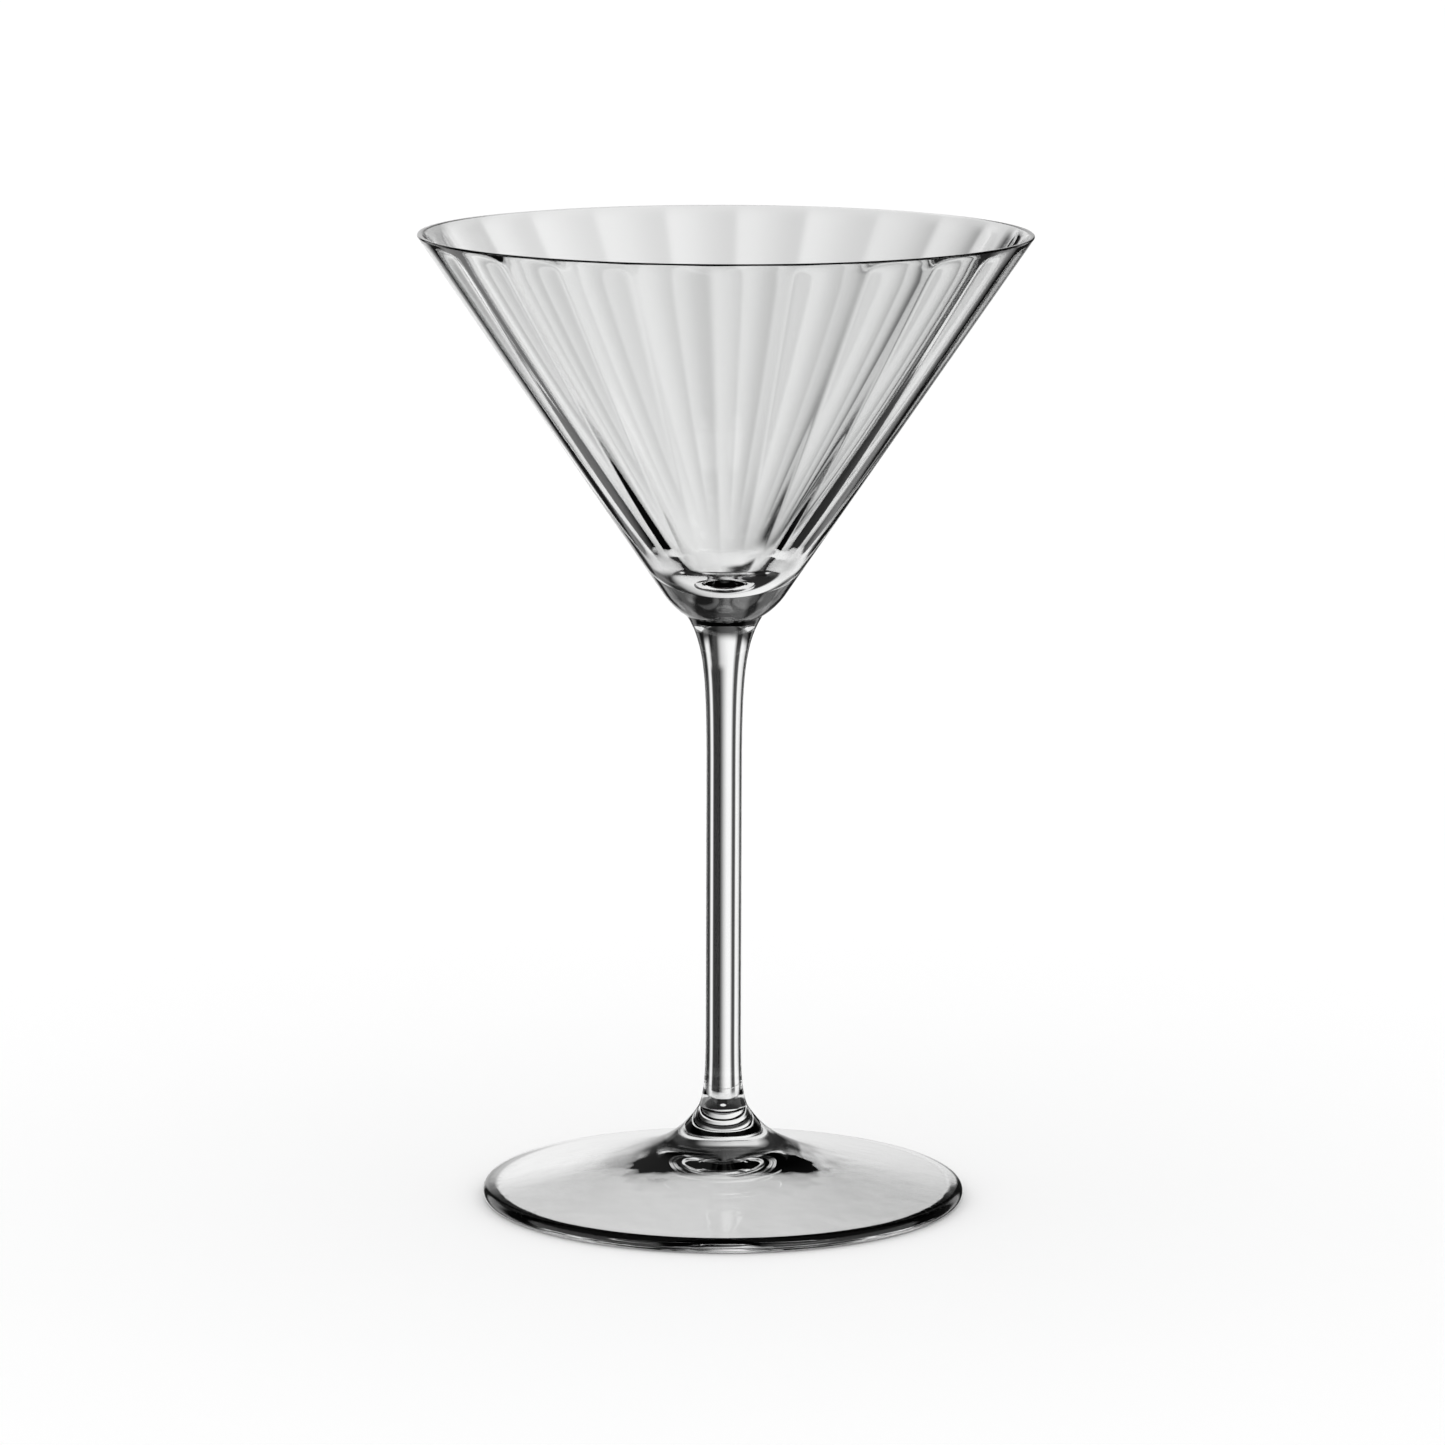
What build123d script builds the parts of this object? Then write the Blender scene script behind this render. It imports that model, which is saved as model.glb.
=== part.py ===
"""Stemmed cocktail glass in three pieces of crystal: a blown bowl, a drawn stem and a spun foot.

Each piece is gathered and shaped by itself, and the three are then joined hot, end to end, on the
glass's own axis. The bowl's inside carries the optic: broad shallow flutes that meet in ridges
and run down the cone to its rounded bottom.

Millimetres, +Z up, origin on the table under the middle of the foot.
"""

import math
import os

from build123d import *

# Overall sizes.
OVERALL_HEIGHT = 176.0
RIM_DIAMETER = 110.0
FOOT_DIAMETER = 87.5
STEM_DIAMETER = 6.4

# The foot, from the table up to its joint with the stem.
FOOT_HEIGHT = 17.0
FOOT_EDGE_THICKNESS = 2.8
FOOT_SLOPE = 11.5  # degrees that the top of the foot rises inwards
FOOT_NECK_SPREAD = 4.5  # how quickly the neck spreads into the foot
REST_RING_WIDTH = 1.6  # the flat ring that stands on the table
DISH_SLOPE = 10.0  # degrees that the hollow underside rises inwards, a little less than the top
DISH_CROWN_WIDTH = 24.0  # how wide the rounded middle of the hollow is

# The two hot joints.
FOOT_JOINT_DIAMETER = 8.8
BOWL_JOINT_DIAMETER = 13.8
LOWER_FLARE_LENGTH = 12.0
UPPER_FLARE_LENGTH = 26.0
LOWER_FLARE_SHARPNESS = 3.8
UPPER_FLARE_SHARPNESS = 4.6

# The bowl, from its joint with the stem up to its rim.
BOWL_HEIGHT = 68.8
RIM_WALL = 0.9
RIM_ROUNDING = 0.25  # radius of the lip's outer edge
RIM_EASING = 0.2  # how far the easing of the lip's inner edge reaches over its top
SHOULDER_RADIUS = 14.0  # outside, where the cone rounds in to the joint
SHOULDER_END_ANGLE = 58.0  # degrees from upright, at the joint
BASE_THICKNESS = 6.5  # solid glass between the joint and the drink
ROUND_BOTTOM_HEIGHT = 4.6  # from the drink's lowest point up to where the wall begins
LOWER_WALL = 5.0  # the wall just above the round bottom
WALL_GROWTH = 3.0  # power of the depth with which the wall grows from the rim down

# The optic on the inside of the bowl.
FLUTES = 24
FLUTE_TURN = -2.5  # degrees from the front to the nearest ridge
FLUTE_DEPTH_AT_RIM = 0.36  # how far a ridge stands in from the middles of its flutes
FLUTE_DEPTH_AT_FOOT = 0.1
FLUTE_RUN_IN = 9.0  # height over which the ridges rise out of the plain bottom

FLUTE_LEVELS = 6
FLARE_POINTS = 7
FOOT_TOP_POINTS = 9
OVERSHOOT = 2.0  # how far a cutting solid runs past the rim

STEM_RADIUS = STEM_DIAMETER / 2
BOWL_JOINT_Z = OVERALL_HEIGHT - BOWL_HEIGHT
RIM_RADIUS = RIM_DIAMETER / 2
BOWL_JOINT_RADIUS = BOWL_JOINT_DIAMETER / 2
FOOT_JOINT_RADIUS = FOOT_JOINT_DIAMETER / 2


def at(radius, height):
    """A point of an outline: its distance from the glass's axis and its height."""
    return (radius, 0, height)


def settle(share, sharpness):
    """Falls from 1 to 0 as share goes from 0 to 1, quickly at first, like a flare into a stem."""
    tail = math.exp(-sharpness)
    return (math.exp(-sharpness * share) - tail) / (1 - tail)


def flare(joint_radius, joint_z, stem_z, sharpness):
    """The curve from a joint to the plain stem, as one spline that ends upright."""
    length = stem_z - joint_z
    points = []
    for i in range(FLARE_POINTS):
        share = (i / (FLARE_POINTS - 1)) ** 1.5
        radius = STEM_RADIUS + (joint_radius - STEM_RADIUS) * settle(share, sharpness)
        points.append(at(radius, joint_z + length * share))
    start_slope = -sharpness * (joint_radius - STEM_RADIUS) / abs(length)
    way = math.copysign(1, length)
    return Spline(*points, tangents=[(start_slope, 0, way), (0, 0, way)])


def turned(*edges):
    """The solid that an outline sweeps round the axis."""
    return revolve(make_face(Curve() + list(edges)), Axis.Z)


def on_circle(centre, radius, lean):
    """The point of a circle's lower outer side where the outline leans this far from upright."""
    return (centre[0] + radius * math.cos(lean), centre[1] - radius * math.sin(lean))


def lean_over(lower, lower_radius, upper, upper_radius):
    """The lean from upright of the straight wall that touches two circles from below, outside."""
    out, up = upper[0] - lower[0], upper[1] - lower[1]
    return math.acos((lower_radius - upper_radius) / math.hypot(out, up)) - math.atan2(up, out)


def make_foot():
    """The foot: a thin cone with a rounded edge, a hollow underside and a neck for the stem."""
    edge_radius = FOOT_EDGE_THICKNESS / 2
    edge_centre = FOOT_DIAMETER / 2 - edge_radius
    slope = math.radians(FOOT_SLOPE)
    ring_inner = edge_centre - REST_RING_WIDTH

    top_start = (edge_centre + edge_radius * math.sin(slope), edge_radius * (1 + math.cos(slope)))
    edge_middle = -slope / 2
    edge_side = at(
        edge_centre + edge_radius * math.cos(edge_middle),
        edge_radius + edge_radius * math.sin(edge_middle),
    )
    cone_at_neck = top_start[1] + math.tan(slope) * (top_start[0] - FOOT_JOINT_RADIUS)
    neck_rise = FOOT_HEIGHT - cone_at_neck

    points = []
    for i in range(FOOT_TOP_POINTS):
        share = (i / (FOOT_TOP_POINTS - 1)) ** 2.2
        radius = FOOT_JOINT_RADIUS + (top_start[0] - FOOT_JOINT_RADIUS) * share
        cone = top_start[1] + math.tan(slope) * (top_start[0] - radius)
        reach = (top_start[0] - FOOT_JOINT_RADIUS) / FOOT_NECK_SPREAD
        points.append(at(radius, cone + neck_rise * settle(share, reach)))
    neck_slope = -math.tan(slope) - neck_rise / FOOT_NECK_SPREAD
    top = Spline(*points, tangents=[(1, 0, neck_slope), (math.cos(slope), 0, -math.sin(slope))])

    hollow = math.radians(DISH_SLOPE)
    crown_edge = DISH_CROWN_WIDTH / 2
    crown_radius = crown_edge / math.sin(hollow)
    crown_start = (ring_inner - crown_edge) * math.tan(hollow)
    crown_centre = crown_start - crown_radius * math.cos(hollow)
    crown_top = crown_centre + crown_radius
    halfway = hollow / 2
    crown_side = at(crown_radius * math.sin(halfway), crown_centre + crown_radius * math.cos(halfway))
    return turned(
        ThreePointArc(at(0, crown_top), crown_side, at(crown_edge, crown_start)),
        Line(at(crown_edge, crown_start), at(ring_inner, 0)),
        Line(at(ring_inner, 0), at(edge_centre, 0)),
        ThreePointArc(at(edge_centre, 0), edge_side, at(*top_start)),
        top,
        Line(at(FOOT_JOINT_RADIUS, FOOT_HEIGHT), at(0, FOOT_HEIGHT)),
        Line(at(0, FOOT_HEIGHT), at(0, crown_top)),
    )


def make_stem():
    """The stem: a plain rod that flares at both ends to the joints with the foot and the bowl."""
    lower_z = FOOT_HEIGHT + LOWER_FLARE_LENGTH
    upper_z = BOWL_JOINT_Z - UPPER_FLARE_LENGTH
    return turned(
        Line(at(0, FOOT_HEIGHT), at(FOOT_JOINT_RADIUS, FOOT_HEIGHT)),
        flare(FOOT_JOINT_RADIUS, FOOT_HEIGHT, lower_z, LOWER_FLARE_SHARPNESS),
        Line(at(STEM_RADIUS, lower_z), at(STEM_RADIUS, upper_z)),
        flare(BOWL_JOINT_RADIUS, BOWL_JOINT_Z, upper_z, UPPER_FLARE_SHARPNESS),
        Line(at(BOWL_JOINT_RADIUS, BOWL_JOINT_Z), at(0, BOWL_JOINT_Z)),
        Line(at(0, BOWL_JOINT_Z), at(0, FOOT_HEIGHT)),
    )


def bowl_outside():
    """The bowl as a solid: a cone that rounds in to the joint below and over into the rim above."""
    end = math.radians(SHOULDER_END_ANGLE)
    centre = (
        BOWL_JOINT_RADIUS - SHOULDER_RADIUS * math.cos(end),
        BOWL_JOINT_Z + SHOULDER_RADIUS * math.sin(end),
    )
    rim_centre = (RIM_RADIUS - RIM_ROUNDING, OVERALL_HEIGHT - RIM_ROUNDING)
    lean = lean_over(centre, SHOULDER_RADIUS, rim_centre, RIM_ROUNDING)
    rim_middle = (lean - math.pi / 2) / 2
    shoulder_top = at(*on_circle(centre, SHOULDER_RADIUS, lean))
    rim_start = at(*on_circle(rim_centre, RIM_ROUNDING, lean))
    cone_at_rim = rim_start[0] + (OVERALL_HEIGHT - rim_start[2]) * math.tan(lean)
    rim_top = at(rim_centre[0], OVERALL_HEIGHT)
    solid = turned(
        ThreePointArc(
            at(BOWL_JOINT_RADIUS, BOWL_JOINT_Z),
            at(*on_circle(centre, SHOULDER_RADIUS, (lean + end) / 2)),
            shoulder_top,
        ),
        Line(shoulder_top, rim_start),
        ThreePointArc(rim_start, at(*on_circle(rim_centre, RIM_ROUNDING, rim_middle)), rim_top),
        Line(rim_top, at(0, OVERALL_HEIGHT)),
        Line(at(0, OVERALL_HEIGHT), at(0, BOWL_JOINT_Z)),
        Line(at(0, BOWL_JOINT_Z), at(BOWL_JOINT_RADIUS, BOWL_JOINT_Z)),
    )
    return solid, lean, cone_at_rim


def flute_ring(radius, height, depth):
    """One level of the optic: arcs from ridge to ridge, each hollowed away from the axis."""
    step = 360 / FLUTES
    ridge_radius = radius - depth
    arcs = []
    for i in range(FLUTES):
        start = math.radians(FLUTE_TURN - 90 + i * step)
        middle, end = start + math.radians(step / 2), start + math.radians(step)
        arcs.append(
            ThreePointArc(
                (ridge_radius * math.cos(start), ridge_radius * math.sin(start), height),
                (radius * math.cos(middle), radius * math.sin(middle), height),
                (ridge_radius * math.cos(end), ridge_radius * math.sin(end), height),
            )
        )
    return Wire(arcs)


def bowl_cavity(lean, inner_rim):
    """The space for the drink: a round bottom, then the fluted cone up past the rim.

    The wall grows from the rim down as a power of the depth, so it is thin for most of the way
    and thickens quickly near the bottom.
    """
    bottom_z = BOWL_JOINT_Z + BASE_THICKNESS
    round_z = bottom_z + ROUND_BOTTOM_HEIGHT
    growth = (LOWER_WALL - RIM_WALL) / math.cos(lean)

    def share_down(height):
        return (OVERALL_HEIGHT - height) / (OVERALL_HEIGHT - round_z)

    def inner_radius(height):
        cone = inner_rim - (OVERALL_HEIGHT - height) * math.tan(lean)
        return cone - math.copysign(growth * abs(share_down(height)) ** WALL_GROWTH, share_down(height))

    round_radius = inner_radius(round_z)
    round_slope = math.tan(lean) + growth * WALL_GROWTH / (OVERALL_HEIGHT - round_z)
    bottom = turned(
        Spline(at(0, bottom_z), at(round_radius, round_z), tangents=[(1, 0, 0), (round_slope, 0, 1)]),
        Line(at(round_radius, round_z), at(0, round_z)),
        Line(at(0, round_z), at(0, bottom_z)),
    )
    rings = [flute_ring(round_radius, round_z, 0)]
    full_z, past_z = round_z + FLUTE_RUN_IN, OVERALL_HEIGHT + OVERSHOOT
    for i in range(FLUTE_LEVELS):
        share = i / (FLUTE_LEVELS - 1)
        height = full_z + (past_z - full_z) * share
        depth = FLUTE_DEPTH_AT_FOOT + (FLUTE_DEPTH_AT_RIM - FLUTE_DEPTH_AT_FOOT) * share
        rings.append(flute_ring(inner_radius(height), height, depth))
    return bottom + Solid.make_loft(rings, ruled=True)


def rim_easing(inner_rim, lean):
    """A shallow cone that takes off the lip's inner edge, halfway between the wall and level."""
    reach = inner_rim + RIM_EASING
    depth = reach * math.tan((math.pi / 2 - lean) / 2)
    return turned(
        Line(at(0, OVERALL_HEIGHT - depth), at(reach, OVERALL_HEIGHT)),
        Line(at(reach, OVERALL_HEIGHT), at(0, OVERALL_HEIGHT)),
        Line(at(0, OVERALL_HEIGHT), at(0, OVERALL_HEIGHT - depth)),
    )


def make_bowl():
    """The bowl: the outside less the drink's space and less the easing of the rim."""
    outside, lean, cone_at_rim = bowl_outside()
    inner_rim = cone_at_rim - RIM_WALL / math.cos(lean)
    return outside - bowl_cavity(lean, inner_rim) - rim_easing(inner_rim, lean)


os.makedirs("parts", exist_ok=True)
export_step(make_foot(), "parts/foot.step")
export_step(make_stem(), "parts/stem.step")
export_step(make_bowl(), "parts/bowl.step")
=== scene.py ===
"""Looks for a stemmed cocktail glass: its blown bowl, its drawn stem, its spun foot and the studio.

Laid out as a Blender add-on and run as a script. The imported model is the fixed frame: each piece
below is a finer surface that stands for one of its nodes, in the same place and at the same size.
Metres, +Z up, origin on the table under the middle of the foot.
"""

import math

import bpy
import numpy as np
from bpy.props import FloatProperty, FloatVectorProperty, IntProperty, PointerProperty
from mathutils import Matrix, Vector


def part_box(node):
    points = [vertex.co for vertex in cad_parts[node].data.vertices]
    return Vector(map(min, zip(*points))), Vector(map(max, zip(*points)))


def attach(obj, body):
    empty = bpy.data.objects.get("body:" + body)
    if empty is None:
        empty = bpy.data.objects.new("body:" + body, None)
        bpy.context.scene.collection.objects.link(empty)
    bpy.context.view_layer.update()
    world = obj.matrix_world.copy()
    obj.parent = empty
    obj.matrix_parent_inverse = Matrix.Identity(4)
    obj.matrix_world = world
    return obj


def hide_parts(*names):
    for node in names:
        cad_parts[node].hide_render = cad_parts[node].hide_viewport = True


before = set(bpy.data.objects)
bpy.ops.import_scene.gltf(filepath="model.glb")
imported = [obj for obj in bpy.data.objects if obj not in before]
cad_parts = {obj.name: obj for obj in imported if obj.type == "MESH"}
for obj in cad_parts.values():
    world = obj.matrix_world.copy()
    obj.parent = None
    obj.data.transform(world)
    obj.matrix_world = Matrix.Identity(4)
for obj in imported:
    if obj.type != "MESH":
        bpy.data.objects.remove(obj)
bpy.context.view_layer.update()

bl_info = {
    "name": "Stemmed cocktail glass",
    "version": (1, 0, 0),
    "blender": (4, 5, 0),
    "location": "3D View > Sidebar > Glass",
    "description": "Blows, draws and spins the three pieces of a stemmed glass and lights them",
    "category": "Add Mesh",
}

MM = 0.001
BOWL_LOW, BOWL_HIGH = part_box("bowl")
STEM_LOW, STEM_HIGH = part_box("stem")
FOOT_LOW, FOOT_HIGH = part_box("foot")

# How finely each stretch of an outline is cut.
FACE_STEPS = 3
RING_STEPS = 4
OVER_LIP_STEPS = 8
LIP_STEPS = 14
CONE_STEPS = 16
ROUND_STEPS = 24
FLARE_STEPS = 40
INNER_STEPS = 56
FOOT_STEPS = 70
# Powers that crowd the points of a long stretch towards the end that bends most.
INNER_CROWDING = 1.15
FLARE_CROWDING = 1.4
FOOT_CROWDING = 2.0
# An edge that turns by more than this is drawn sharp.
SHARP_EDGE = math.radians(20.0)
# Slow waves round the bowl, as (how many, phase, share): they shift its ridges and vary their height.
SHIFT_WAVES = ((3, 1.0, 1 / 1.6), (7, 2.2, 0.6 / 1.6))
HEIGHT_WAVES = ((5, 0.4, 0.12), (11, 0.0, 0.08))
# A ridge at the bottom of its run, as a share of its height at the rim.
LOWEST_RIDGE = 0.2


# ------------------------------------------------------------------------------- settings


class GlassBowlSettings(bpy.types.PropertyGroup):
    """Sizes of the blown bowl."""

    lip_radius: FloatProperty(
        name="Lip rounding", description="Radius of the lip's outer edge", default=0.25 * MM, unit="LENGTH"
    )
    lip_easing: FloatProperty(
        name="Lip easing", description="Drop of the lip's eased inner edge", default=0.2 * MM, unit="LENGTH"
    )
    rim_wall: FloatProperty(
        name="Wall at the rim", description="Thinnest wall, at the lip", default=0.9 * MM, unit="LENGTH"
    )
    lower_wall: FloatProperty(
        name="Wall at the bottom",
        description="Wall just above the round bottom",
        default=5.0 * MM,
        unit="LENGTH",
    )
    wall_growth: FloatProperty(
        name="Wall growth",
        description="Power of the depth with which the wall grows from the rim down",
        default=3.0,
    )
    joint_radius: FloatProperty(
        name="Joint radius", description="Where the stem is joined on", default=6.9 * MM, unit="LENGTH"
    )
    shoulder_radius: FloatProperty(
        name="Shoulder rounding",
        description="Outside, where the cone rounds in to the joint",
        default=14.0 * MM,
        unit="LENGTH",
    )
    shoulder_end: FloatProperty(
        name="Shoulder end",
        description="Lean from upright of the outside at the joint",
        default=math.radians(58.0),
        subtype="ANGLE",
        unit="ROTATION",
    )
    base_thickness: FloatProperty(
        name="Solid base",
        description="Glass between the joint and the drink",
        default=6.5 * MM,
        unit="LENGTH",
    )
    round_height: FloatProperty(
        name="Round bottom",
        description="Height of the drink's round bottom",
        default=4.6 * MM,
        unit="LENGTH",
    )
    flutes: IntProperty(name="Flutes", description="Optic flutes round the inside", default=24, min=3)
    flute_depth: FloatProperty(
        name="Flute depth",
        description="How far a ridge stands in at the rim",
        default=0.36 * MM,
        unit="LENGTH",
    )
    flute_turn: FloatProperty(
        name="Flute turn",
        description="Turn of the first ridge from the front",
        default=math.radians(-2.5),
        subtype="ANGLE",
        unit="ROTATION",
    )
    ridge_rounding: FloatProperty(
        name="Ridge rounding", description="Rounding of the ridges, as a share of a flute", default=0.10
    )
    run_out: FloatProperty(
        name="Run-out",
        description="Drop below the lip over which the ridges end",
        default=1.5 * MM,
        unit="LENGTH",
    )
    run_in: FloatProperty(
        name="Run-in", description="Height over which the ridges rise", default=9.0 * MM, unit="LENGTH"
    )
    unevenness: FloatProperty(
        name="Unevenness",
        description="How far the ridges wander from even spacing",
        default=math.radians(0.9),
        subtype="ANGLE",
        unit="ROTATION",
    )
    steps_per_flute: IntProperty(name="Steps", description="Mesh steps across each flute", default=24, min=6)


class GlassStemSettings(bpy.types.PropertyGroup):
    """Sizes of the drawn stem."""

    radius: FloatProperty(name="Radius", description="Of the plain rod", default=3.2 * MM, unit="LENGTH")
    foot_radius: FloatProperty(
        name="Foot joint radius", description="At the joint with the foot", default=4.4 * MM, unit="LENGTH"
    )
    bowl_radius: FloatProperty(
        name="Bowl joint radius", description="At the joint with the bowl", default=6.9 * MM, unit="LENGTH"
    )
    lower_flare: FloatProperty(
        name="Lower flare", description="Length of the flare to the foot", default=12.0 * MM, unit="LENGTH"
    )
    upper_flare: FloatProperty(
        name="Upper flare", description="Length of the flare to the bowl", default=26.0 * MM, unit="LENGTH"
    )
    lower_sharpness: FloatProperty(name="Lower sharpness", description="How quickly it narrows", default=3.8)
    upper_sharpness: FloatProperty(name="Upper sharpness", description="How quickly it narrows", default=4.6)
    steps_round: IntProperty(name="Steps", description="Mesh steps round the stem", default=160, min=12)


class GlassFootSettings(bpy.types.PropertyGroup):
    """Sizes of the spun foot."""

    edge_thickness: FloatProperty(
        name="Edge", description="Thickness of its edge", default=2.8 * MM, unit="LENGTH"
    )
    slope: FloatProperty(
        name="Slope",
        description="Rise of the top towards the middle",
        default=math.radians(11.5),
        subtype="ANGLE",
        unit="ROTATION",
    )
    neck_spread: FloatProperty(
        name="Neck spread", description="How quickly the neck spreads", default=4.5 * MM, unit="LENGTH"
    )
    joint_radius: FloatProperty(
        name="Joint radius", description="At the joint with the stem", default=4.4 * MM, unit="LENGTH"
    )
    ring_width: FloatProperty(
        name="Rest ring", description="Flat ring that stands on the table", default=1.6 * MM, unit="LENGTH"
    )
    dish_slope: FloatProperty(
        name="Dish slope",
        description="Rise of the hollow underside towards the middle",
        default=math.radians(10.0),
        subtype="ANGLE",
        unit="ROTATION",
    )
    crown_width: FloatProperty(
        name="Crown width", description="Of the hollow's rounded middle", default=24.0 * MM, unit="LENGTH"
    )
    steps_round: IntProperty(name="Steps", description="Mesh steps round the foot", default=360, min=24)


class GlassFinishSettings(bpy.types.PropertyGroup):
    """The glass itself."""

    tint: FloatVectorProperty(
        name="Tint",
        description="Colour of light that has crossed one surface",
        default=(0.989, 0.992, 0.99),
        subtype="COLOR",
        min=0.0,
        max=1.0,
    )
    refraction: FloatProperty(name="Refraction", description="Index of refraction of crystal", default=1.52)
    polish: FloatProperty(
        name="Polish", description="Roughness of the fire-polished surface", default=0.0, min=0.0, max=1.0
    )
    ripple_height: FloatProperty(
        name="Ripple height",
        description="Height of the ripples in the bowl and the stem",
        default=0.02 * MM,
        unit="LENGTH",
    )
    foot_ripple_height: FloatProperty(
        name="Foot ripple height",
        description="Height of the ripples in the spun foot",
        default=0.03 * MM,
        unit="LENGTH",
    )
    wear_roughness: FloatProperty(
        name="Ring wear",
        description="Roughness where the foot rubs on tables",
        default=0.12,
        min=0.0,
        max=1.0,
    )


class GlassStudioSettings(bpy.types.PropertyGroup):
    """The white surround, its black flags, the floor and the camera."""

    surround: FloatProperty(name="Surround", description="Brightness of the white surround", default=1.06)
    backdrop: FloatProperty(name="Backdrop", description="Brightness seen through the glass", default=1.0)
    floor_white: FloatProperty(name="Floor", description="Reflectance of the floor", default=0.96, max=1.0)
    distance: FloatProperty(
        name="Camera distance", description="From the aim to the camera", default=1.1968, unit="LENGTH"
    )
    aim_side: FloatProperty(
        name="Aim sideways", description="Of the glass's axis", default=-0.32 * MM, unit="LENGTH"
    )
    aim_height: FloatProperty(
        name="Aim height", description="Above the table", default=87.58 * MM, unit="LENGTH"
    )
    pitch: FloatProperty(
        name="Pitch",
        description="How far the camera looks down",
        default=math.radians(9.732),
        subtype="ANGLE",
        unit="ROTATION",
    )
    roll: FloatProperty(
        name="Roll",
        description="Of the camera",
        default=math.radians(0.185),
        subtype="ANGLE",
        unit="ROTATION",
    )
    lens: FloatProperty(name="Lens", description="Focal length in millimetres", default=165.3)


# ------------------------------------------------------------------------------- outlines


def arc(centre, radius, start, end, steps):
    """Points (radius, height) on a circle, its angle going evenly from start to end."""
    angle = np.linspace(start, end, steps + 1)
    return np.stack([centre[0] + radius * np.cos(angle), centre[1] + radius * np.sin(angle)], 1)


def straight(start, end, steps):
    """Points spaced evenly from start to end."""
    share = np.linspace(0.0, 1.0, steps + 1)[:, None]
    return np.array(start) * (1 - share) + np.array(end) * share


def eased(start, start_way, end, end_way, steps):
    """A cubic from start to end that leaves and arrives along the two given ways."""
    share = np.linspace(0.0, 1.0, steps + 1)[:, None]
    start, end = np.array(start), np.array(end)
    pull = np.linalg.norm(end - start)
    leave = np.array(start_way) / np.linalg.norm(start_way) * pull
    arrive = np.array(end_way) / np.linalg.norm(end_way) * pull
    return (
        start * (1 + 2 * share) * (1 - share) ** 2
        + leave * share * (1 - share) ** 2
        + end * share**2 * (3 - 2 * share)
        - arrive * share**2 * (1 - share)
    )


def settle(share, sharpness):
    """Falls from 1 to 0 as share goes from 0 to 1: a falling exponential less its own tail."""
    tail = math.exp(-sharpness)
    return (np.exp(-sharpness * share) - tail) / (1 - tail)


def fade_in(share):
    """A smooth step: three times the square less twice the cube, held to 0 and 1 outside that range."""
    share = np.clip(share, 0.0, 1.0)
    return share * share * (3 - 2 * share)


def waves(angle, terms):
    """A sum of sines round the axis, each with its count, its phase and its share."""
    return sum(share * np.sin(count * angle + phase) for count, phase, share in terms)


def joined(*stretches):
    """One outline from several that follow on, with each shared point kept once."""
    return np.concatenate([stretches[0]] + [s[1:] for s in stretches[1:]])


def lean_over(lower, lower_radius, upper, upper_radius):
    """Lean from upright of the straight wall that touches two circles from below, outside."""
    out, up = upper[0] - lower[0], upper[1] - lower[1]
    return math.acos((lower_radius - upper_radius) / math.hypot(out, up)) - math.atan2(up, out)


# ------------------------------------------------------------------------------- surfaces


def turned_mesh(name, radius, height, steps, joints=()):
    """A closed surface of revolution from two grids, radius and height, each (rows, steps).

    Row by row the outline starts on the axis at the bottom and ends on the axis at the top, so
    the first and last rows shrink to one point each. Point (i, j) stands at angle j turns / steps,
    at that radius and height. Rows in joints face a neighbouring piece and take the second slot.
    """
    rows = radius.shape[0] - 2
    angle = np.arange(steps) * (2 * math.pi / steps)
    inner = slice(1, rows + 1)
    points = np.stack(
        [radius[inner] * np.cos(angle), radius[inner] * np.sin(angle), height[inner]], 2
    ).reshape(-1, 3)
    ends = np.array([[0.0, 0.0, height[0, 0]], [0.0, 0.0, height[-1, 0]]])
    points = np.concatenate([points, ends])
    low, high = rows * steps, rows * steps + 1

    here = np.arange(steps)
    after = (here + 1) % steps
    base = (np.arange(rows - 1) * steps)[:, None]
    quads = np.stack([base + here, base + after, base + steps + after, base + steps + here], 2).reshape(-1, 4)
    last = (rows - 1) * steps
    bottom = np.stack([np.full(steps, low), after, here], 1)
    top = np.stack([last + here, last + after, np.full(steps, high)], 1)

    mesh = bpy.data.meshes.new(name)
    loops = np.concatenate([bottom.ravel(), quads.ravel(), top.ravel()])
    sizes = np.concatenate([np.full(steps, 3), np.full(len(quads), 4), np.full(steps, 3)])
    mesh.vertices.add(len(points))
    mesh.vertices.foreach_set("co", points.ravel())
    mesh.loops.add(len(loops))
    mesh.loops.foreach_set("vertex_index", loops)
    mesh.polygons.add(len(sizes))
    mesh.polygons.foreach_set("loop_start", np.concatenate([[0], np.cumsum(sizes)[:-1]]))
    row_of_face = np.repeat(np.arange(rows + 1), steps)
    mesh.polygons.foreach_set("material_index", np.isin(row_of_face, joints).astype(np.int32))
    mesh.polygons.foreach_set("use_smooth", np.ones(len(sizes), bool))
    mesh.update(calc_edges=True)
    mesh.validate()
    mesh.set_sharp_from_angle(angle=SHARP_EDGE)
    return mesh


def add_piece(name, mesh, node, materials):
    """Puts the mesh in the scene as a piece that stands for a node and rides on the body."""
    for material in materials:
        mesh.materials.append(material)
    piece = bpy.data.objects.new(name, mesh)
    bpy.context.scene.collection.objects.link(piece)
    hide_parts(node)
    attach(piece, "root")
    return piece


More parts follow.
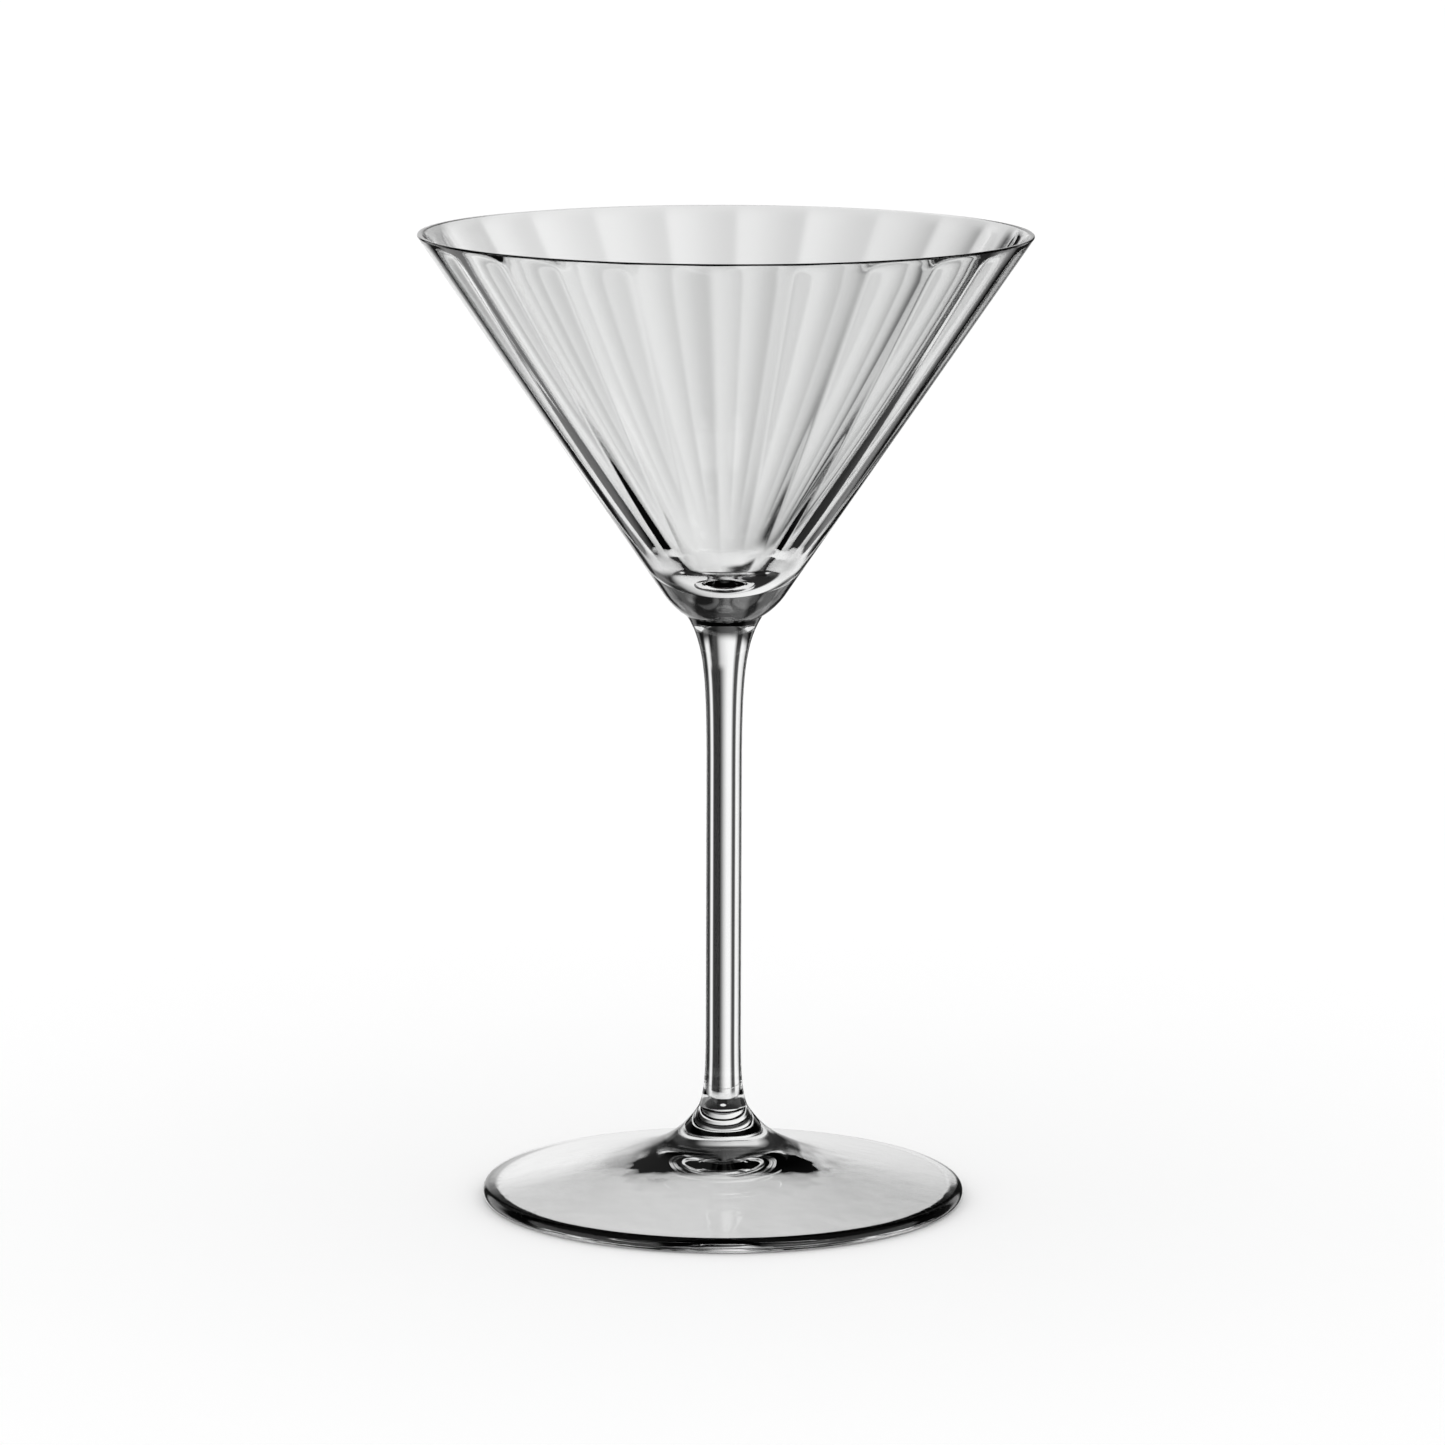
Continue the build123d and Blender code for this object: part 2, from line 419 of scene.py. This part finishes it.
def bowl_grids(s):
    """The bowl's outline at every angle, from its joint up the outside and down to the drink.

    Outside, a shoulder circle and the lip's circle share one straight tangent, the cone. Inside,
    the wall is the rim's wall plus a power of the depth, and a ridge stands in from it between
    every two flutes. A ridge's height is one less the rounded absolute value of a sine of half
    the flute count times the angle, so flutes are broad and ridges narrow. The ridges rise out of
    the round bottom, grow evenly with height and end just below the lip.
    """
    rim, top, joint_z = BOWL_HIGH.x, BOWL_HIGH.z, BOWL_LOW.z
    centre = (
        s.joint_radius - s.shoulder_radius * math.cos(s.shoulder_end),
        joint_z + s.shoulder_radius * math.sin(s.shoulder_end),
    )
    lip = (rim - s.lip_radius, top - s.lip_radius)
    lean = lean_over(centre, s.shoulder_radius, lip, s.lip_radius)
    face = straight((0.0, joint_z), (s.joint_radius, joint_z), FACE_STEPS)
    shoulder = arc(centre, s.shoulder_radius, -s.shoulder_end, -lean, ROUND_STEPS)
    lip_arc = arc(lip, s.lip_radius, -lean, math.pi / 2, LIP_STEPS)
    outside = joined(face, shoulder, straight(shoulder[-1], lip_arc[0], CONE_STEPS), lip_arc)

    cone_at_top = lip_arc[0, 0] + (top - lip_arc[0, 1]) * math.tan(lean)
    inner_top = cone_at_top - s.rim_wall / math.cos(lean)
    bottom_z = joint_z + s.base_thickness
    round_z = bottom_z + s.round_height
    growth = (s.lower_wall - s.rim_wall) / math.cos(lean)
    down = np.linspace(0.0, 1.0, INNER_STEPS + 1) ** INNER_CROWDING
    depth = s.lip_easing + (top - s.lip_easing - round_z) * down
    share = depth / (top - round_z)
    wall = np.stack([inner_top - depth * math.tan(lean) - growth * share**s.wall_growth, top - depth], 1)
    slope = math.tan(lean) + growth * s.wall_growth / (top - round_z)
    over = eased(outside[-1], (-1.0, 0.0), wall[0], (-math.tan(lean), -1.0), OVER_LIP_STEPS)
    bottom = eased(wall[-1], (-slope, -1.0), (0.0, bottom_z), (-1.0, 0.0), ROUND_STEPS)
    inside = joined(over, wall, bottom)[1:]

    steps = s.flutes * s.steps_per_flute
    angle = np.arange(steps) * (2 * math.pi / steps)
    shift = s.unevenness * waves(angle, SHIFT_WAVES)
    wave = np.sin(s.flutes / 2 * (angle + math.pi / 2 - s.flute_turn + shift))
    rounding = s.ridge_rounding
    ridge = 1.0 - (np.sqrt(wave**2 + rounding**2) - rounding) / (math.sqrt(1 + rounding**2) - rounding)
    ridge = ridge * (1.0 + waves(angle, HEIGHT_WAVES))
    above_bottom, below_lip = inside[:, 1] - round_z, top - inside[:, 1]
    rise = LOWEST_RIDGE + (1 - LOWEST_RIDGE) * above_bottom / (top - round_z)
    rise = rise * fade_in(above_bottom / s.run_in) * fade_in(below_lip / s.run_out)
    inner_radius = inside[:, :1] - s.flute_depth * rise[:, None] * ridge[None, :]
    inner_radius[-1] = 0.0
    radius = np.concatenate([np.repeat(outside[:, :1], steps, 1), inner_radius])
    height = np.concatenate([np.repeat(outside[:, 1:], steps, 1), np.repeat(inside[:, 1:], steps, 1)])
    return radius, height, steps, tuple(range(FACE_STEPS))


def stem_grids(s):
    """The stem's outline: a rod whose two ends flare to their joints by falling exponentials."""
    low, high = STEM_LOW.z, STEM_HIGH.z
    share = np.linspace(0.0, 1.0, FLARE_STEPS + 1) ** FLARE_CROWDING
    lower_radius = s.radius + (s.foot_radius - s.radius) * settle(share, s.lower_sharpness)
    upper_radius = s.radius + (s.bowl_radius - s.radius) * settle(share, s.upper_sharpness)
    lower = np.stack([lower_radius, low + s.lower_flare * share], 1)
    upper = np.stack([upper_radius, high - s.upper_flare * share], 1)[::-1]
    outline = joined(
        straight((0.0, low), (s.foot_radius, low), FACE_STEPS),
        lower,
        straight(lower[-1], upper[0], CONE_STEPS),
        upper,
        straight((s.bowl_radius, high), (0.0, high), FACE_STEPS),
    )
    rows = len(outline) - 1
    joints = tuple(range(FACE_STEPS)) + tuple(range(rows - FACE_STEPS, rows))
    radius = np.repeat(outline[:, :1], s.steps_round, 1)
    height = np.repeat(outline[:, 1:], s.steps_round, 1)
    return radius, height, s.steps_round, joints


def foot_grids(s):
    """The foot's outline: the hollow, the rest ring, a round edge, then a cone to the neck.

    The hollow is a straight cone with a crown that is part of one circle. The top is a straight
    cone plus a neck that falls off as an exponential of the distance out.
    """
    rim, top = FOOT_HIGH.x, FOOT_HIGH.z
    edge = s.edge_thickness / 2
    edge_centre = (rim - edge, edge)
    ring_inner = edge_centre[0] - s.ring_width
    crown_edge = s.crown_width / 2
    crown_radius = crown_edge / math.sin(s.dish_slope)
    crown_start = (ring_inner - crown_edge) * math.tan(s.dish_slope)
    crown_centre = (0.0, crown_start - crown_radius * math.cos(s.dish_slope))
    crown = arc(crown_centre, crown_radius, math.pi / 2, math.pi / 2 - s.dish_slope, ROUND_STEPS)
    rounded = arc(edge_centre, edge, -math.pi / 2, math.pi / 2 - s.slope, ROUND_STEPS)
    start = rounded[-1]
    share = np.linspace(0.0, 1.0, FOOT_STEPS + 1) ** FOOT_CROWDING
    reach = start[0] - s.joint_radius
    out = s.joint_radius + reach * share
    cone = start[1] + math.tan(s.slope) * (start[0] - out)
    neck_rise = top - (start[1] + math.tan(s.slope) * reach)
    upper = np.stack([out, cone + neck_rise * settle(share, reach / s.neck_spread)], 1)[::-1]
    outline = joined(
        crown,
        straight(crown[-1], (ring_inner, 0.0), FOOT_STEPS),
        straight((ring_inner, 0.0), (edge_centre[0], 0.0), RING_STEPS),
        rounded,
        upper,
        straight((s.joint_radius, top), (0.0, top), FACE_STEPS),
    )
    rows = len(outline) - 1
    radius = np.repeat(outline[:, :1], s.steps_round, 1)
    height = np.repeat(outline[:, 1:], s.steps_round, 1)
    return radius, height, s.steps_round, tuple(range(rows - FACE_STEPS, rows))


# ------------------------------------------------------------------------------- glass

# Noise cells to the metre.
BOWL_RIPPLES = 55.0
STEM_RIPPLES = 90.0
FOOT_RIPPLES = 180.0
SCUFFS = 900.0
# The noise at which a scuff begins and where it is full, and how high above the table they reach.
SCUFF_START = 0.4
SCUFF_FULL = 0.6
WEAR_TOP = 0.35 * MM


def new_material(name):
    """An empty material with its node tree and output."""
    material = bpy.data.materials.new(name)
    material.use_nodes = True
    tree = material.node_tree
    tree.nodes.clear()
    output = tree.nodes.new("ShaderNodeOutputMaterial")
    return material, tree, output


def wired(tree, socket, value):
    """Links a socket to another, or sets it to a number."""
    if isinstance(value, bpy.types.NodeSocket):
        tree.links.new(value, socket)
    else:
        socket.default_value = value


def math_node(tree, operation, *values):
    """One sum on one, two or three values."""
    node = tree.nodes.new("ShaderNodeMath")
    node.operation = operation
    for socket, value in zip(node.inputs, values):
        wired(tree, socket, value)
    return node.outputs["Value"]


def step_between(tree, value, low, high):
    """0 at low, 1 at high, and a smooth step between."""
    node = tree.nodes.new("ShaderNodeMapRange")
    node.interpolation_type = "SMOOTHSTEP"
    node.inputs["From Min"].default_value = low
    node.inputs["From Max"].default_value = high
    wired(tree, node.inputs["Value"], value)
    return node.outputs["Result"]


def mixed(tree, share, first, second):
    """The first value at share 0 and the second at share 1."""
    node = tree.nodes.new("ShaderNodeMix")
    node.data_type = "FLOAT"
    wired(tree, node.inputs["Factor"], share)
    wired(tree, node.inputs["A"], first)
    wired(tree, node.inputs["B"], second)
    return node.outputs["Result"]


def glass_material(name, finish, ripple_scale, ripple_height, worn=False):
    """Clear crystal: smooth, with the faint ripples of hot work and, if worn, a rubbed rest ring."""
    material, tree, output = new_material(name)
    nodes, links = tree.nodes, tree.links
    shader = nodes.new("ShaderNodeBsdfPrincipled")
    shader.inputs["Base Color"].default_value = (*finish.tint, 1.0)
    shader.inputs["Transmission Weight"].default_value = 1.0
    shader.inputs["IOR"].default_value = finish.refraction
    shader.inputs["Roughness"].default_value = finish.polish
    links.new(shader.outputs["BSDF"], output.inputs["Surface"])

    place = nodes.new("ShaderNodeTexCoord")
    ripples = nodes.new("ShaderNodeTexNoise")
    ripples.inputs["Scale"].default_value = ripple_scale
    ripples.inputs["Detail"].default_value = 1.0
    links.new(place.outputs["Object"], ripples.inputs["Vector"])
    bump = nodes.new("ShaderNodeBump")
    bump.inputs["Strength"].default_value = 1.0
    bump.inputs["Distance"].default_value = ripple_height
    links.new(ripples.outputs["Fac"], bump.inputs["Height"])
    links.new(bump.outputs["Normal"], shader.inputs["Normal"])
    if worn:
        height = nodes.new("ShaderNodeSeparateXYZ")
        links.new(place.outputs["Object"], height.inputs["Vector"])
        scuffs = nodes.new("ShaderNodeTexNoise")
        scuffs.inputs["Scale"].default_value = SCUFFS
        links.new(place.outputs["Object"], scuffs.inputs["Vector"])
        low = step_between(tree, height.outputs["Z"], WEAR_TOP, 0.0)
        scuffed = step_between(tree, scuffs.outputs["Fac"], SCUFF_START, SCUFF_FULL)
        rubbed = math_node(tree, "MULTIPLY", low, scuffed)
        rough = math_node(tree, "MULTIPLY_ADD", rubbed, finish.wear_roughness, finish.polish)
        wired(tree, shader.inputs["Roughness"], rough)
    return material


def weld_material():
    """The weld between two pieces, where the glass runs on without a surface. Made on first use."""
    made = bpy.data.materials.get("weld")
    if made:
        return made
    material, tree, output = new_material("weld")
    clear = tree.nodes.new("ShaderNodeBsdfTransparent")
    tree.links.new(clear.outputs["BSDF"], output.inputs["Surface"])
    return material


# ------------------------------------------------------------------------------- studio

# What the glass sees round it, as (degrees, brightness) to the right of the way that the camera
# looks: white panels with black flags between them, and a panel behind that fades to the right.
SURROUND = (
    (-180, 0.02), (-152, 0.02), (-148, 0.90), (-78, 0.90), (-75, 0.02), (-56, 0.02), (-50, 0.50),
    (-46, 0.90), (-32, 1.00), (-28, 0.04), (-21, 0.03), (-15.5, 1.00), (-10, 1.00), (-6, 0.98),
    (-2, 0.89), (2, 0.76), (5, 0.66), (8, 0.44), (12, 0.03), (24, 0.02), (29, 0.90), (36, 0.90),
    (42, 0.04), (74, 0.02), (78, 0.90), (158, 0.90), (163, 0.02),
)
# All heights below are degrees above the horizon. The panels end a little above it, and the dim
# room over them keeps a share of their brightness on its own grey.
PANEL_TOP = 10.0
ROOM_START = 22.0
ROOM_SHARE = 0.1
ROOM_GREY = 0.005
# Well below the horizon other flags lie at the sides.
BELOW = (
    (-180, 0.92), (-125, 0.92), (-115, 0.03), (-54, 0.03), (-44, 0.92), (34, 0.92), (46, 0.25),
    (112, 0.25), (124, 0.92),
)
BELOW_START = -28.0
BELOW_FULL = -38.0
# Lower still comes a dark table top, and straight below the glass a lit patch.
TABLE_START = -48.0
TABLE_FULL = -55.0
TABLE_GREY = 0.02
PATCH_START = -83.0
PATCH_FULL = -86.0
PATCH_WHITE = 0.92
# A low card stands close behind the stem, as (degrees, share of the light that it lets by).
LOW_CARD = ((-180, 1.0), (-4, 1.0), (0, 0.78), (3, 0.48), (5.5, 0.25), (9, 0.03), (22, 0.03), (25, 1.0))
LOW_CARD_RADIUS = 25.0 * MM
LOW_CARD_REACH = math.radians(40.0)
LOW_CARD_FOOT = 8.0 * MM
LOW_CARD_TOP = 99.0 * MM
LOW_CARD_FADE = 3.0 * MM
LOW_CARD_COLUMNS = 33
LOW_CARD_ROWS = 3
FLOOR_RADIUS = 40.0
FLOOR_DROP = 0.02 * MM
FLOOR_SIDES = 96
WHITE = (1.0, 1.0, 1.0, 1.0)
SENSOR_WIDTH = 36.0
NEAREST, FURTHEST = 0.05, 100.0
LIGHT_BOUNCES = 24


def round_greys(tree, x, y, stops):
    """A grey for each bearing, the angle of (x, y) to the right of +Y, from stops in degrees."""
    bearing = math_node(tree, "ARCTAN2", x, y)
    turns = math_node(tree, "ADD", math_node(tree, "DIVIDE", bearing, 2 * math.pi), 0.5)
    node = tree.nodes.new("ShaderNodeValToRGB")
    elements = node.color_ramp.elements
    elements.remove(elements[-1])
    elements[0].color = (stops[0][1],) * 3 + (1.0,)
    for degrees, grey in stops[1:]:
        elements.new((degrees + 180.0) / 360.0).color = (grey, grey, grey, 1.0)
    wired(tree, node.inputs["Fac"], turns)
    return node.outputs["Color"]


def studio_world(settings):
    """White for the eye and for the floor, panels and flags for light that meets the glass."""
    world = bpy.data.worlds.new("studio")
    bpy.context.scene.world = world
    world.use_nodes = True
    tree = world.node_tree
    tree.nodes.clear()
    way = tree.nodes.new("ShaderNodeSeparateXYZ")
    tree.links.new(tree.nodes.new("ShaderNodeTexCoord").outputs["Generated"], way.inputs["Vector"])
    rise = math_node(tree, "DEGREES", math_node(tree, "ARCSINE", way.outputs["Z"]))
    room = step_between(tree, rise, PANEL_TOP, ROOM_START)
    x, y = way.outputs["X"], way.outputs["Y"]
    panels = round_greys(tree, x, y, SURROUND)
    dim = math_node(tree, "ADD", math_node(tree, "MULTIPLY", panels, ROOM_SHARE), ROOM_GREY)
    above = mixed(tree, room, panels, dim)
    fall = math_node(tree, "MULTIPLY", rise, -1.0)
    to_flags = step_between(tree, fall, -BELOW_START, -BELOW_FULL)
    to_table = step_between(tree, fall, -TABLE_START, -TABLE_FULL)
    to_patch = step_between(tree, fall, -PATCH_START, -PATCH_FULL)
    flagged = mixed(tree, to_flags, above, round_greys(tree, x, y, BELOW))
    seen_by_glass = mixed(tree, to_patch, mixed(tree, to_table, flagged, TABLE_GREY), PATCH_WHITE)

    path = tree.nodes.new("ShaderNodeLightPath")
    met_glass = math_node(tree, "MAXIMUM", path.outputs["Is Transmission Ray"], path.outputs["Is Glossy Ray"])
    mix = tree.nodes.new("ShaderNodeMixShader")
    wired(tree, mix.inputs["Fac"], met_glass)
    for socket, colour, strength in (
        (mix.inputs[1], WHITE, settings.surround),
        (mix.inputs[2], seen_by_glass, settings.backdrop),
    ):
        light = tree.nodes.new("ShaderNodeBackground")
        light.inputs["Strength"].default_value = strength
        wired(tree, light.inputs["Color"], colour)
        tree.links.new(light.outputs["Background"], socket)
    output = tree.nodes.new("ShaderNodeOutputWorld")
    tree.links.new(mix.outputs["Shader"], output.inputs["Surface"])


def add_stage(part, material, unseen_by):
    """Puts a floor or a card in the scene, hidden from the kinds of ray that are named."""
    part.data.materials.append(material)
    bpy.context.scene.collection.objects.link(part)
    for kind in unseen_by:
        setattr(part, "visible_" + kind, False)


def low_card():
    """A card curved about the axis: radius fixed, angle from straight behind, height from the table."""
    across = np.linspace(-LOW_CARD_REACH, LOW_CARD_REACH, LOW_CARD_COLUMNS)
    angle, height = np.meshgrid(across, np.linspace(LOW_CARD_FOOT, LOW_CARD_TOP, LOW_CARD_ROWS))
    points = np.stack([LOW_CARD_RADIUS * np.sin(angle), LOW_CARD_RADIUS * np.cos(angle), height], 2)
    columns = LOW_CARD_COLUMNS
    corner = (np.arange(LOW_CARD_ROWS - 1)[:, None] * columns + np.arange(columns - 1)[None, :]).ravel()
    faces = np.stack([corner, corner + 1, corner + columns + 1, corner + columns], 1)
    mesh = bpy.data.meshes.new("studio_low_card")
    mesh.from_pydata(points.reshape(-1, 3).tolist(), [], faces.tolist())

    material, tree, output = new_material("low_card")
    place = tree.nodes.new("ShaderNodeSeparateXYZ")
    tree.links.new(tree.nodes.new("ShaderNodeTexCoord").outputs["Object"], place.inputs["Vector"])
    let_by = round_greys(tree, place.outputs["X"], place.outputs["Y"], LOW_CARD)
    top = step_between(tree, place.outputs["Z"], LOW_CARD_TOP - LOW_CARD_FADE, LOW_CARD_TOP)
    clear = tree.nodes.new("ShaderNodeBsdfTransparent")
    wired(tree, clear.inputs["Color"], mixed(tree, top, let_by, 1.0))
    tree.links.new(clear.outputs["BSDF"], output.inputs["Surface"])
    add_stage(bpy.data.objects.new("studio_low_card", mesh), material, ("camera", "diffuse", "shadow"))


def studio_floor(settings):
    """A wide pale disc for the eye alone, evenly cut round its edge: glass looks past it at the world."""
    angle = np.arange(FLOOR_SIDES) * (2 * math.pi / FLOOR_SIDES)
    low = np.full(FLOOR_SIDES, -FLOOR_DROP)
    points = np.stack([FLOOR_RADIUS * np.cos(angle), FLOOR_RADIUS * np.sin(angle), low], 1)
    mesh = bpy.data.meshes.new("studio_floor")
    mesh.from_pydata(points.tolist(), [], [list(range(FLOOR_SIDES))])

    material, tree, output = new_material("floor_card")
    card = tree.nodes.new("ShaderNodeBsdfDiffuse")
    card.inputs["Color"].default_value = (settings.floor_white,) * 3 + (1.0,)
    tree.links.new(card.outputs["BSDF"], output.inputs["Surface"])
    add_stage(bpy.data.objects.new("studio_floor", mesh), material, ("transmission", "glossy"))


def studio_camera(settings):
    """A long lens that looks slightly down on the glass."""
    camera = bpy.data.objects.new("studio_camera", bpy.data.cameras.new("studio_camera"))
    bpy.context.scene.collection.objects.link(camera)
    bpy.context.scene.camera = camera
    camera.data.lens = settings.lens
    camera.data.sensor_width = SENSOR_WIDTH
    camera.data.clip_start, camera.data.clip_end = NEAREST, FURTHEST
    ahead = Vector((0.0, math.cos(settings.pitch), -math.sin(settings.pitch)))
    right = Vector((1.0, 0.0, 0.0))
    up = right.cross(ahead)
    level, tip = math.cos(settings.roll), math.sin(settings.roll)
    right, up = right * level + up * tip, up * level - right * tip
    camera.matrix_world = Matrix((right, up, -ahead)).transposed().to_4x4()
    camera.location = Vector((settings.aim_side, 0.0, settings.aim_height)) - ahead * settings.distance


# ------------------------------------------------------------------------------- operators


class GLASS_OT_blow_bowl(bpy.types.Operator):
    """Blow the bowl: the cone, its lip, its optic flutes and its solid base"""

    bl_idname = "glass.blow_bowl"
    bl_label = "Blow the bowl"

    def execute(self, context):
        radius, height, steps, joints = bowl_grids(context.scene.glass_bowl)
        mesh = turned_mesh("blown_bowl", radius, height, steps, joints)
        finish = context.scene.glass_finish
        glass = glass_material("bowl_crystal", finish, BOWL_RIPPLES, finish.ripple_height)
        add_piece("blown_bowl", mesh, "bowl", (glass, weld_material()))
        return {"FINISHED"}


class GLASS_OT_draw_stem(bpy.types.Operator):
    """Draw the stem: a rod flared to its two joints"""

    bl_idname = "glass.draw_stem"
    bl_label = "Draw the stem"

    def execute(self, context):
        radius, height, steps, joints = stem_grids(context.scene.glass_stem)
        mesh = turned_mesh("drawn_stem", radius, height, steps, joints)
        finish = context.scene.glass_finish
        glass = glass_material("stem_crystal", finish, STEM_RIPPLES, finish.ripple_height)
        add_piece("drawn_stem", mesh, "stem", (glass, weld_material()))
        return {"FINISHED"}


class GLASS_OT_spin_foot(bpy.types.Operator):
    """Spin the foot: the disc, its neck, its edge and its hollow underside"""

    bl_idname = "glass.spin_foot"
    bl_label = "Spin the foot"

    def execute(self, context):
        radius, height, steps, joints = foot_grids(context.scene.glass_foot)
        mesh = turned_mesh("spun_foot", radius, height, steps, joints)
        finish = context.scene.glass_finish
        glass = glass_material("foot_crystal", finish, FOOT_RIPPLES, finish.foot_ripple_height, worn=True)
        add_piece("spun_foot", mesh, "foot", (glass, weld_material()))
        return {"FINISHED"}


class GLASS_OT_set_studio(bpy.types.Operator):
    """Set the studio: the surround with its flags, the floor and the camera"""

    bl_idname = "glass.set_studio"
    bl_label = "Set the studio"

    def execute(self, context):
        settings = context.scene.glass_studio
        studio_world(settings)
        studio_floor(settings)
        low_card()
        studio_camera(settings)
        context.scene.view_settings.view_transform = "Standard"
        context.scene.cycles.max_bounces = LIGHT_BOUNCES
        context.scene.cycles.transmission_bounces = LIGHT_BOUNCES
        context.scene.cycles.transparent_max_bounces = LIGHT_BOUNCES
        return {"FINISHED"}


class GLASS_PT_maker(bpy.types.Panel):
    """Lists the steps of making the glass"""

    bl_idname = "GLASS_PT_maker"
    bl_label = "Stemmed glass"
    bl_space_type = "VIEW_3D"
    bl_region_type = "UI"
    bl_category = "Glass"

    def draw(self, context):
        for operator in OPERATORS:
            self.layout.operator(operator.bl_idname)
        for settings_name in SETTINGS:
            box = self.layout.box()
            settings = getattr(context.scene, settings_name)
            for size in settings.bl_rna.properties.keys()[2:]:
                box.prop(settings, size)


SETTINGS = {
    "glass_bowl": GlassBowlSettings,
    "glass_stem": GlassStemSettings,
    "glass_foot": GlassFootSettings,
    "glass_finish": GlassFinishSettings,
    "glass_studio": GlassStudioSettings,
}
OPERATORS = (GLASS_OT_blow_bowl, GLASS_OT_draw_stem, GLASS_OT_spin_foot, GLASS_OT_set_studio)


def register():
    """Adds the settings, the operators and the panel to Blender."""
    for name, group in SETTINGS.items():
        bpy.utils.register_class(group)
        setattr(bpy.types.Scene, name, PointerProperty(type=group))
    for operator in OPERATORS:
        bpy.utils.register_class(operator)
    bpy.utils.register_class(GLASS_PT_maker)


def unregister():
    """Takes them away again, in the opposite order."""
    bpy.utils.unregister_class(GLASS_PT_maker)
    for operator in reversed(OPERATORS):
        bpy.utils.unregister_class(operator)
    for name, group in reversed(SETTINGS.items()):
        delattr(bpy.types.Scene, name)
        bpy.utils.unregister_class(group)


def main():
    """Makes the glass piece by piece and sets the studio."""
    register()
    bpy.ops.glass.blow_bowl()
    bpy.ops.glass.draw_stem()
    bpy.ops.glass.spin_foot()
    bpy.ops.glass.set_studio()


if __name__ == "__main__":
    main()
